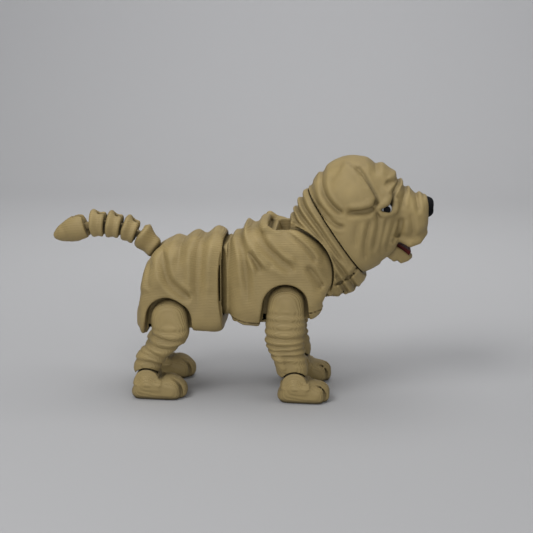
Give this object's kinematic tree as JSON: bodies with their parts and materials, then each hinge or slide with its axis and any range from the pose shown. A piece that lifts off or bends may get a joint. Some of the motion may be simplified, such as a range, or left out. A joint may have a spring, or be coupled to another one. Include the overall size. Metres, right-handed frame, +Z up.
{
  "type": "articulated toy dog",
  "caption": "Standing 3-D printed wrinkly dog toy with pinned legs and paws, tilting neck, turning head, hinged jaw, split waist and a beaded bending tail.",
  "frame": {"origin": "on the ground under the middle of the toy, midway between nose and tail tip", "axes": "+X towards the nose, +Y to the dog's left, +Z up"},
  "size_m": [0.1894, 0.0482, 0.1206],
  "materials": {
    "tan_plastic": "matte, fine printed layers",
    "peg_plastic": "matte",
    "black_plastic": "matte",
    "white_plastic": "satin",
    "red_plastic": "satin"
  },
  "bodies": {
    "chest": {"front_body": "tan_plastic", "front_belly_cap": "tan_plastic", "waist_pin": "peg_plastic", "neck_pin": "peg_plastic"},
    "haunch": {"rear_body": "tan_plastic", "rear_belly_cap": "tan_plastic"},
    "neck": {"neck_upper": "tan_plastic", "neck_lower": "tan_plastic"},
    "head": {"head_shell": "tan_plastic", "head_peg": "peg_plastic", "nose": "black_plastic", "jaw_pin": "peg_plastic", "eye_white_right": "white_plastic", "pupil_right": "black_plastic", "eye_white_left": "white_plastic", "pupil_left": "black_plastic"},
    "jaw": {"lower_jaw": "tan_plastic", "tongue": "red_plastic"},
    "leg_front_right": {"leg_front_right": "tan_plastic", "leg_peg_front_right": "peg_plastic"},
    "paw_front_right": {"paw_front_right": "tan_plastic", "ankle_pin_front_right": "peg_plastic"},
    "leg_front_left": {"leg_front_left": "tan_plastic", "leg_peg_front_left": "peg_plastic"},
    "paw_front_left": {"paw_front_left": "tan_plastic", "ankle_pin_front_left": "peg_plastic"},
    "leg_rear_right": {"leg_rear_right": "tan_plastic", "leg_peg_rear_right": "peg_plastic"},
    "paw_rear_right": {"paw_rear_right": "tan_plastic", "ankle_pin_rear_right": "peg_plastic"},
    "leg_rear_left": {"leg_rear_left": "tan_plastic", "leg_peg_rear_left": "peg_plastic"},
    "paw_rear_left": {"paw_rear_left": "tan_plastic", "ankle_pin_rear_left": "peg_plastic"},
    "tail_1": {"tail_link_1": "tan_plastic", "tail_peg": "peg_plastic"},
    "tail_2": {"tail_link_2": "tan_plastic", "tail_pin_1": "peg_plastic"},
    "tail_3": {"tail_link_3": "tan_plastic", "tail_pin_2": "peg_plastic"},
    "tail_4": {"tail_link_4": "tan_plastic", "tail_pin_3": "peg_plastic"},
    "tail_5": {"tail_tip": "tan_plastic", "tail_pin_4": "peg_plastic"}
  },
  "joints": [
    {"name": "waist_yaw", "type": "hinge", "parent": "chest", "child": "haunch", "pos_m": [-0.0037, 0, 0.062], "axis": [0, 0, 1], "range_deg": [-6, 6]},
    {"name": "neck_pitch", "type": "hinge", "parent": "chest", "child": "neck", "pos_m": [0.0238, 0, 0.065], "axis": [0, 1, 0], "range_deg": [-15, 10]},
    {"name": "head_swivel", "type": "hinge", "parent": "neck", "child": "head", "pos_m": [0.048, 0, 0.0835], "axis": [0.8211, 0, 0.5707], "range_deg": [-60, 60]},
    {"name": "jaw_hinge", "type": "hinge", "parent": "head", "child": "jaw", "pos_m": [0.0648, 0, 0.0795], "axis": [0, 1, 0], "range_deg": [-18, 10]},
    {"name": "shoulder_right", "type": "hinge", "parent": "chest", "child": "leg_front_right", "pos_m": [0.0238, -0.016, 0.0495], "axis": [0, 1, 0], "range_deg": [-9, 10]},
    {"name": "ankle_front_right", "type": "hinge", "parent": "leg_front_right", "child": "paw_front_right", "pos_m": [0.0284, -0.016, 0.0095], "axis": [0, 1, 0], "range_deg": [-12, 12]},
    {"name": "shoulder_left", "type": "hinge", "parent": "chest", "child": "leg_front_left", "pos_m": [0.0238, 0.016, 0.0495], "axis": [0, 1, 0], "range_deg": [-9, 10]},
    {"name": "ankle_front_left", "type": "hinge", "parent": "leg_front_left", "child": "paw_front_left", "pos_m": [0.0284, 0.016, 0.0095], "axis": [0, 1, 0], "range_deg": [-12, 12]},
    {"name": "hip_right", "type": "hinge", "parent": "haunch", "child": "leg_rear_right", "pos_m": [-0.034, -0.016, 0.0413], "axis": [0, 1, 0], "range_deg": [-14, 14]},
    {"name": "ankle_rear_right", "type": "hinge", "parent": "leg_rear_right", "child": "paw_rear_right", "pos_m": [-0.0452, -0.016, 0.0095], "axis": [0, 1, 0], "range_deg": [-12, 12]},
    {"name": "hip_left", "type": "hinge", "parent": "haunch", "child": "leg_rear_left", "pos_m": [-0.034, 0.016, 0.0413], "axis": [0, 1, 0], "range_deg": [-14, 14]},
    {"name": "ankle_rear_left", "type": "hinge", "parent": "leg_rear_left", "child": "paw_rear_left", "pos_m": [-0.0452, 0.016, 0.0095], "axis": [0, 1, 0], "range_deg": [-12, 12]},
    {"name": "tail_root_swivel", "type": "hinge", "parent": "haunch", "child": "tail_1", "pos_m": [-0.0424, 0, 0.0717], "axis": [-0.8192, 0, 0.5736], "range_deg": [-60, 60]},
    {"name": "tail_bend_1", "type": "hinge", "parent": "tail_1", "child": "tail_2", "pos_m": [-0.05447, 0, 0.08115], "axis": [0, 1, 0], "range_deg": [-5, 12]},
    {"name": "tail_bend_2", "type": "hinge", "parent": "tail_2", "child": "tail_3", "pos_m": [-0.06226, 0, 0.08372], "axis": [0, 1, 0], "range_deg": [-8, 10]},
    {"name": "tail_bend_3", "type": "hinge", "parent": "tail_3", "child": "tail_4", "pos_m": [-0.07039, 0, 0.08455], "axis": [0, 1, 0], "range_deg": [-8, 10]},
    {"name": "tail_bend_4", "type": "hinge", "parent": "tail_4", "child": "tail_5", "pos_m": [-0.07998, 0, 0.08268], "axis": [0, 1, 0], "range_deg": [-6, 18]}
  ]
}
